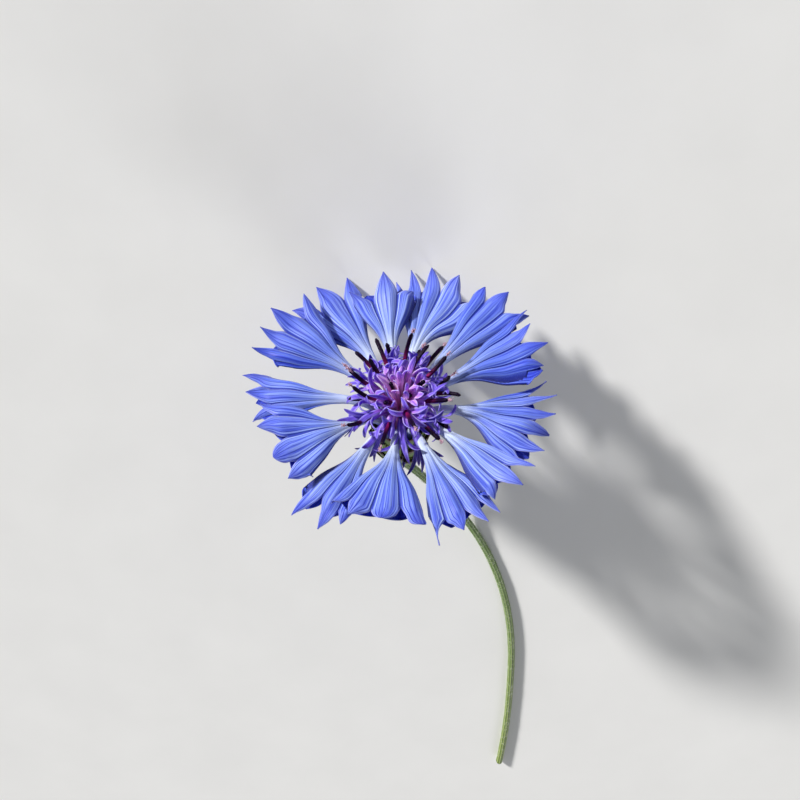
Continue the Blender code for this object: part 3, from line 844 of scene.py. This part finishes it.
def make_stem(stem_material, hair_material):
    along, points, headings = stem_path()
    side = unit(np.cross(headings, (0.0, 0.0, 1.0)))
    upright = np.cross(side, headings)
    neck = np.clip(1 - along / STEM_NECK_LENGTH, 0, 1) ** 2
    radius = STEM_RADIUS + (STEM_NECK_RADIUS - STEM_RADIUS) * neck
    angles = ring_angles(STEM_SIDES)
    ribs = np.cos(STEM_RIBS * angles + 0.5 * np.sin(along / STEM_RIB_DRIFT))
    unevenness = STEM_UNEVENNESS * (np.sin(3 * angles + along / STEM_UNEVEN_LENGTH) - 1)
    local_radius = radius * (1 - STEM_RIB_DEPTH * (1 - ribs) / 2 + unevenness)
    rings = rings_round(points, side, upright, local_radius, angles)
    near_cut = smooth((along - STEM_LENGTH + STEM_SLANTED) / STEM_SLANTED)
    slant = STEM_CUT_SLANT * near_cut * np.sin(angles)
    rings = rings + slant[..., None] * headings[:, None, :]
    rings[0] = rings[0] + GAP * headings[0]
    skin = Skin()
    index = skin.add(rings, ribs, along / STEM_LENGTH, 0.0)
    skin.grid(index, is_ring=True)
    skin.cap(index[0])
    add_cut_end(skin, rings[-1], headings[-1], index[-1])
    piece = skin.build("stalk", stem_material)
    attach(piece, "root")
    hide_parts("stem")
    make_wool(points, headings, side, upright, radius[:, 0], hair_material)


def add_cut_end(skin, rim, heading, rim_index):
    """The cut face: a firm ring round a sunken pith."""
    centre = rim.mean(axis=0)
    previous = rim_index
    for share, depth in CUT_RINGS:
        ring = centre + (rim - centre) * share - heading * depth * MM
        index = skin.add(ring, 0.0, 1.2 + (1 - share), 1.0)
        skin.grid(np.vstack((previous, index)), is_ring=True)
        previous = index
    skin.cap(previous)


def make_wool(points, headings, side, upright, radius, material):
    """Fine curved hairs, mostly pressed to the stem and denser near the head."""
    skin = Skin()
    share = np.linspace(0, 1, HAIR_JOINTS)[:, None]
    for _ in range(STEM_HAIRS):
        section = int((draw() ** 1.35) * (STEM_SECTIONS - 4))
        outward = towards(side[section], upright[section], draw(0, 2 * math.pi))
        around = np.cross(headings[section], outward)
        start = points[section] + outward * radius[section] * 0.96
        length = draw(0.5, 1.7) * MM
        run = draw(-1, 1) * headings[section] + draw(-0.7, 0.7) * around
        arch = draw(0.06, 0.22) * MM * np.sin(share * math.pi * 0.9)
        wrap = (share * length) ** 2 / (2.6 * radius[section])
        path = start + share * length * unit(run) + (arch - wrap) * outward
        thickness = HAIR_RADIUS * (1 - 0.7 * share)
        rings = rings_round(path, unit(np.cross(run, outward)), outward, thickness, ring_angles(3))
        rings[..., 2] = np.maximum(rings[..., 2], 0.0)
        skin.rod(rings, 0.0, share, draw())
    piece = skin.build("stalk_wool", material)
    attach(piece, "root")


# Materials


class Nodes:
    """Short ways to make the shader nodes of one material, or of the world. A value may be a
    number, a linear colour or another node's output."""

    def __init__(self, owner):
        owner.use_nodes = True
        self.owner = owner
        self.tree = owner.node_tree
        self.shader = self.tree.nodes.get("Principled BSDF")

    def feed(self, socket, value):
        if isinstance(value, bpy.types.NodeSocket):
            self.tree.links.new(value, socket)
        else:
            socket.default_value = (*value, 1.0) if isinstance(value, tuple) else value

    def new(self, kind, inputs=None, **settings):
        """A node with some settings, and a value for each of some inputs, by name or by number."""
        node = self.tree.nodes.new("ShaderNode" + kind)
        for label, value in settings.items():
            setattr(node, label, value)
        for socket, value in (inputs or {}).items():
            self.feed(node.inputs[socket], value)
        return node

    def read(self, *labels):
        """The numbers that the mesh keeps at its points under these labels."""
        made = [self.new("Attribute", attribute_name=label) for label in labels]
        return [node.outputs["Fac"] for node in made]

    def math(self, operation, *values):
        node = self.new("Math", dict(enumerate(values)), operation=operation)
        return node.outputs[0]

    def times(self, first, second):
        return self.math("MULTIPLY", first, second)

    def less(self, first, second):
        return self.math("SUBTRACT", first, second)

    def varied(self, value, pattern, amount):
        """A value that a pattern moves up and down."""
        return self.math("MULTIPLY_ADD", self.less(pattern, 0.5), amount, value)

    def ramp(self, factor, *stops):
        """A colour ramp through (position, colour or grey) stops."""
        node = self.new("ValToRGB", {"Fac": factor})
        elements = node.color_ramp.elements
        while len(elements) < len(stops):
            elements.new(1.0)
        for element, (position, colour) in zip(elements, stops):
            element.position = position
            element.color = (*(colour if isinstance(colour, tuple) else (colour,) * 3), 1.0)
        return node.outputs["Color"]

    def noise(self, scale, detail, *place):
        """Noise at a place of three values, or else at the place on the object."""
        source = self.new("CombineXYZ", dict(enumerate(place))) if place else self.new("TexCoord")
        vector = source.outputs["Vector" if place else "Object"]
        inputs = {"Vector": vector, "Scale": scale, "Detail": detail}
        return self.new("TexNoise", inputs).outputs["Fac"]

    def mix(self, factor, first, second, blend="MIX"):
        inputs = {0: factor, 6: first, 7: second}
        return self.new("Mix", inputs, data_type="RGBA", blend_type=blend).outputs[2]

    def tint(self, colour, by, factor=1.0):
        return self.mix(factor, colour, by, "MULTIPLY")

    def bump(self, height, strength, distance):
        inputs = {"Height": height, "Strength": strength, "Distance": distance}
        bump = self.new("Bump", inputs)
        self.feed(self.shader.inputs["Normal"], bump.outputs["Normal"])

    def finish(self, colour, roughness, specular=0.4):
        self.feed(self.shader.inputs["Base Color"], colour)
        self.feed(self.shader.inputs["Roughness"], roughness)
        self.shader.inputs["Specular IOR Level"].default_value = specular
        return self.owner

    def let_light_through(self, colour, share):
        """Mixes light that passes through the thin wall into the surface."""
        through = self.new("BsdfTranslucent", {"Color": colour}).outputs["BSDF"]
        inputs = {"Fac": share, 1: self.shader.outputs["BSDF"], 2: through}
        mixed = self.new("MixShader", inputs).outputs["Shader"]
        self.feed(self.tree.nodes["Material Output"].inputs["Surface"], mixed)


def material_nodes(name):
    return Nodes(bpy.data.materials.new(name))


def ray_petal_material():
    """Cornflower blue, nearly white at the throat, with fine lengthwise veins and pale margins. The
    grooves that run to the places where the lobes part are painted shade, with a painted highlight
    on the ridge beside each; the tone paints lobes lit or shaded, the lower sheet is painted in
    shade, and part of the throat's whiteness is a painted highlight."""
    nodes = material_nodes("ray_petal")
    times, less, ramp, mix = nodes.times, nodes.less, nodes.ramp, nodes.mix
    across, along, tone, around = nodes.read(*ATTRIBUTES)
    fine = nodes.noise(1.0, 4.0, times(around, 6.0), times(along, 1.3), 0.0)
    broad = nodes.noise(1.0, 2.0, times(around, 2.0), times(along, 3.0), 5.0)
    shifted = nodes.varied(along, broad, 0.22)
    base = ramp(
        nodes.math("MULTIPLY_ADD", shifted, 0.5, 0.5),
        (0.30, (0.45, 0.50, 0.82)), (0.49, (0.62, 0.74, 1.00)), (0.54, (0.40, 0.56, 0.99)),
        (0.60, (0.27, 0.42, 0.98)), (0.74, (0.20, 0.32, 0.96)), (0.88, (0.14, 0.22, 0.88)),
        (1.00, (0.08, 0.12, 0.72)),
    )
    in_limb = ramp(along, (0.02, 0.0), (0.16, 1.0))
    freed = ramp(along, (PARTED, 0.0), (PARTED + 0.12, 1.0))
    between_veins = ramp(
        across,
        (0.00, 0.50), (0.035, 1.0), (0.36, 1.0), (0.39, 0.40), (0.43, 1.0), (0.66, 1.0),
        (0.69, 0.44), (0.73, 1.0),
    )
    veins = times(less(1.0, between_veins), in_limb)
    dark_streaks = times(times(ramp(fine, (0.40, 1.0), (0.50, 0.0)), in_limb), 0.85)
    deep = nodes.tint(base, (0.24, 0.30, 0.74))
    veined = mix(times(veins, 1.7), mix(dark_streaks, base, deep), deep)
    # Painted shade: the grooves of the joined limb, where the lobes' folds meet, are painted dark.
    groove = times(ramp(across, (0.83, 0.0), (0.92, 1.0)), in_limb)
    joined_groove = times(groove, less(1.0, freed))
    # A painted highlight on the ridge beside each groove.
    painted_ridge_highlight = times(ramp(across, (0.72, 0.0), (0.77, 1.0), (0.80, 1.0), (0.84, 0.0)), in_limb)
    bright_streaks = times(ramp(fine, (0.54, 0.0), (0.62, 1.0)), in_limb)
    # The bright streaks and the painted ridge highlight lighten the colour towards a light blue.
    pale = nodes.math("MULTIPLY_ADD", bright_streaks, 0.38, times(painted_ridge_highlight, 0.50))
    ridge_highlighted = mix(pale, veined, (0.44, 0.62, 1.0))
    # Painted shade in the grooves.
    groove_shaded = mix(times(joined_groove, 0.92), ridge_highlighted, (0.02, 0.045, 0.50))
    margin = times(ramp(across, (0.86, 0.0), (0.98, 1.0)), freed)
    edged = mix(times(margin, 0.5), groove_shaded, (0.60, 0.66, 1.0))
    # Painted light and shade: the tone mixes a shaded copy of the colour, at 0, with a lit copy, at
    # 1.
    lit_tone = nodes.math("MAXIMUM", tone, 0.0)
    painted_lit_copy = nodes.tint(edged, (1.36, 1.20, 1.0))
    painted_lit_or_shaded = mix(lit_tone, nodes.tint(edged, (0.38, 0.46, 0.82)), painted_lit_copy)
    # The throat is paler: partly the petal's own whitish throat and partly a painted highlight,
    # stronger on the florets given more painted light.
    from_throat = nodes.math("MULTIPLY_ADD", bright_streaks, -0.05, along)
    near_throat = ramp(from_throat, (0.0, 1.0), (0.08, 0.72), (0.27, 0.0))
    throat_white_and_highlight = times(near_throat, nodes.math("MULTIPLY_ADD", lit_tone, 0.55, 0.18))
    whitened = mix(throat_white_and_highlight, painted_lit_or_shaded, (0.82, 0.91, 1.0))
    # Painted shade: the lower sheet, whose tone is below 0, is darkened.
    lower = times(nodes.math("MINIMUM", tone, 0.0), -1.0)
    final = mix(lower, whitened, nodes.tint(whitened, (0.22, 0.30, 0.78)))
    nodes.bump(less(less(times(fine, 0.8), veins), joined_groove), 0.8, 0.18 * MM)
    nodes.shader.inputs["Sheen Weight"].default_value = 0.15
    nodes.shader.inputs["Sheen Roughness"].default_value = 0.4
    nodes.let_light_through(nodes.tint(final, (0.55, 0.68, 1.0)), 0.28)
    return nodes.finish(final, ramp(fine, (0.3, 0.40), (0.7, 0.56)))


def disc_petal_material():
    """Pink and lilac in the middle of the disc, blue violet at its edge and at the lobes' tips,
    with pale margins. The florets that hang on the stem's side are darker, as painted shade."""
    nodes = material_nodes("disc_petal")
    times, ramp, mix = nodes.times, nodes.ramp, nodes.mix
    across, along, tone, around = nodes.read(*ATTRIBUTES)
    cloud = nodes.noise(2.4, 3.0, times(across, 1.5), times(along, 1.5), around)
    # Darker outwards and towards the lobes' tips; the hanging florets' tone adds painted shade.
    out_and_hanging_shade = nodes.math("MULTIPLY_ADD", along, 0.42, times(tone, 0.60))
    where = nodes.varied(out_and_hanging_shade, cloud, 0.6)
    base = ramp(
        where,
        (0.00, (1.00, 0.80, 1.00)), (0.18, (0.94, 0.52, 1.00)), (0.38, (0.56, 0.25, 0.96)),
        (0.58, (0.27, 0.16, 0.90)), (0.84, (0.15, 0.09, 0.68)), (1.00, (0.05, 0.02, 0.28)),
    )
    from_tube = nodes.math("ADD", along, 0.5)
    inside = ramp(from_tube, (0.20, (0.95, 0.50, 0.76)), (0.52, (1.0, 1.0, 1.0)))
    margin = ramp(across, (0.50, 0.0), (0.92, 1.0))
    margin_colour = ramp(
        where, (0.15, (1.0, 0.84, 1.0)), (0.6, (0.60, 0.54, 0.99)), (1.0, (0.26, 0.22, 0.74))
    )
    edged = mix(times(margin, 0.66), nodes.tint(base, inside), margin_colour)
    vein = ramp(across, (0.0, 1.0), (0.22, 0.0))
    veined = mix(times(vein, 0.45), edged, (0.13, 0.06, 0.50))
    nodes.bump(nodes.less(cloud, vein), 0.5, 0.1 * MM)
    nodes.let_light_through(nodes.tint(veined, (0.95, 0.7, 1.0)), 0.35)
    return nodes.finish(veined, ramp(cloud, (0.3, 0.32), (0.7, 0.46)))


def anther_material():
    """Nearly black purple, maroon at the foot; the style's tip and the pollen are dusky pink."""
    nodes = material_nodes("anther_dark")
    across, along = nodes.read("across", "along")
    streaks = nodes.noise(3.0, 3.0, nodes.times(across, 1.5), nodes.times(along, 2.0), 0.0)
    base = nodes.ramp(
        nodes.times(nodes.varied(along, streaks, 0.25), 0.5),
        (0.00, (0.42, 0.06, 0.26)), (0.14, (0.24, 0.012, 0.10)), (0.26, (0.060, 0.003, 0.036)),
        (0.34, (0.008, 0.001, 0.014)), (0.56, (0.004, 0.001, 0.009)), (0.62, (0.26, 0.10, 0.17)),
        (0.72, (0.46, 0.28, 0.36)), (0.85, (0.66, 0.50, 0.58)),
    )
    nodes.bump(streaks, 0.4, 0.08 * MM)
    return nodes.finish(base, nodes.ramp(streaks, (0.3, 0.26), (0.7, 0.42)), 0.07)


def bract_material():
    """Green scales, darker at the tip, with brown comb teeth that pale towards their points."""
    nodes = material_nodes("bract_green")
    across, along, tone = nodes.read("across", "along", "tone")
    veins = nodes.noise(2.5, 4.0, nodes.times(across, 4.0), along, nodes.times(tone, 29.0))
    body = nodes.ramp(
        nodes.math("ADD", along, nodes.times(veins, 0.25)),
        (0.10, (0.34, 0.42, 0.20)), (0.55, (0.17, 0.27, 0.08)), (0.95, (0.10, 0.15, 0.05)),
        (1.15, (0.10, 0.05, 0.04)),
    )
    margin = nodes.ramp(
        nodes.times(nodes.math("ABSOLUTE", across), 0.5),
        (0.36, (1.0, 1.0, 1.0)), (0.43, (0.55, 0.32, 0.22)), (0.52, (0.35, 0.18, 0.12)),
        (0.80, (1.6, 1.1, 0.9)), (1.0, (6.0, 5.0, 5.0)),
    )
    nodes.bump(veins, 0.5, 0.2 * MM)
    return nodes.finish(nodes.tint(body, margin), 0.5)


def stem_material():
    """Grey green with darker furrows; the cut shows a pale ring and a whiter pith."""
    nodes = material_nodes("stem_green")
    times, ramp = nodes.times, nodes.ramp
    across, along, tone = nodes.read("across", "along", "tone")
    fibres = nodes.noise(3.0, 5.0, times(across, 1.2), times(along, 14.0), 0.0)
    spots = nodes.noise(900.0, 3.0)
    ribbed = ramp(
        nodes.math("MULTIPLY_ADD", across, 0.5, 0.5),
        (0.0, (0.085, 0.14, 0.045)), (0.5, (0.15, 0.23, 0.075)), (1.0, (0.27, 0.36, 0.15)),
    )
    length_tint = ramp(
        along, (0.0, (1.0, 1.1, 0.95)), (0.5, (1.0, 1.0, 1.0)), (1.0, (1.15, 1.05, 0.85))
    )
    fibre_tint = ramp(fibres, (0.3, (0.75, 0.78, 0.7)), (0.7, (1.15, 1.1, 1.1)))
    mottled = nodes.tint(nodes.tint(ribbed, length_tint), fibre_tint, 0.7)
    cut = ramp(
        nodes.less(along, 1.0),
        (0.20, (0.20, 0.30, 0.10)), (0.30, (0.55, 0.62, 0.35)), (0.45, (0.74, 0.78, 0.58)),
        (0.9, (0.82, 0.84, 0.70)),
    )
    nodes.bump(nodes.math("ADD", fibres, times(spots, 0.5)), 0.35, 0.2 * MM)
    return nodes.finish(nodes.mix(tone, mottled, cut), ramp(spots, (0.3, 0.45), (0.7, 0.65)))


def wool_material():
    nodes = material_nodes("stem_wool")
    tone = nodes.read("tone")[0]
    return nodes.finish(nodes.ramp(tone, (0.0, (0.55, 0.58, 0.48)), (1.0, (0.85, 0.86, 0.80))), 0.7)


def receptacle_material():
    nodes = material_nodes("receptacle_flesh")
    grain = nodes.noise(1600.0, 4.0)
    nodes.bump(grain, 0.5, 0.2 * MM)
    colour = nodes.ramp(grain, (0.3, (0.33, 0.38, 0.18)), (0.7, (0.55, 0.60, 0.36)))
    return nodes.finish(colour, 0.6)


def floor_material():
    nodes = material_nodes("pale_floor")
    grain = nodes.noise(60.0, 5.0)
    nodes.bump(grain, 0.05, 0.5 * MM)
    return nodes.finish(nodes.ramp(grain, (0.3, 0.80), (0.7, 0.83)), 1.0, 0.0)


# Floor, light and camera


def make_floor():
    mesh = bpy.data.meshes.new("floor")
    half = FLOOR_WIDTH / 2
    corners = [(-half, -half, 0.0), (half, -half, 0.0), (half, half, 0.0), (-half, half, 0.0)]
    mesh.from_pydata(corners, [], [(0, 1, 2, 3)])
    mesh.materials.append(floor_material())
    floor = put_in_scene("floor", mesh)


def add_distant_light(name, direction, spread, strength, colour):
    """An even light from far away. Its spread, as an angle, softens the shadows."""
    data = bpy.data.lights.new(name, "SUN")
    data.angle = spread
    data.energy = strength
    data.color = colour
    light = put_in_scene(name, data)
    light.rotation_euler = Vector(direction).to_track_quat("Z", "Y").to_euler()


def make_light():
    """A key light from the front and the left, a weak one from behind, and a pale surround that is
    brightest at the horizon."""
    add_distant_light("key", (0.68, -0.64, 0.33), math.radians(6), 5.3, (1.0, 0.98, 0.94))
    add_distant_light("rim", (-0.42, 0.78, 0.42), math.radians(24), 0.8, (0.95, 0.97, 1.0))
    world = bpy.data.worlds.new("studio")
    bpy.context.scene.world = world
    nodes = Nodes(world)
    direction = nodes.new("TexCoord").outputs["Generated"]
    height = nodes.new("SeparateXYZ", {"Vector": direction}).outputs["Z"]
    stops = [
        (position, (0.97 * brightness, 0.985 * brightness, brightness))
        for position, brightness in ((0.0, 0.70), (0.25, 0.64), (0.48, 0.40), (0.72, 0.14))
    ]
    nodes.feed(nodes.tree.nodes["Background"].inputs["Color"], nodes.ramp(height, *stops))


def make_camera():
    """Looks down at the flower's face from one side of its axis, with the stem to the lower right
    of the picture."""
    facing = HEAD_TILT[:, 2]
    downwards = -HEAD_TILT[:, 1]
    away = towards(facing, downwards, -VIEW_OFF_AXIS)
    up = towards(downwards, facing, VIEW_OFF_AXIS)
    place = HEAD_FOOT + VIEW_HEIGHT_ON_AXIS * facing + VIEW_DISTANCE * away
    data = bpy.data.cameras.new("camera")
    data.sensor_width = SENSOR_WIDTH
    data.lens = LENS
    data.clip_start = 0.001
    data.clip_end = 10.0
    data.shift_y = VIEW_SHIFT
    camera = put_in_scene("camera", data)
    turn = Matrix((np.cross(up, away), up, away)).transposed().to_4x4()
    camera.matrix_world = Matrix.Translation(Vector(place)) @ turn
    bpy.context.scene.camera = camera
    bpy.context.scene.view_settings.view_transform = "Standard"


# The whole flower


make_ray_florets(ray_petal_material())
make_disc_florets(disc_petal_material(), anther_material())
make_bract_rows(bract_material())
make_stem(stem_material(), wool_material())
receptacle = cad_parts["receptacle"]
receptacle.data.materials.clear()
receptacle.data.materials.append(receptacle_material())
make_floor()
make_light()
make_camera()
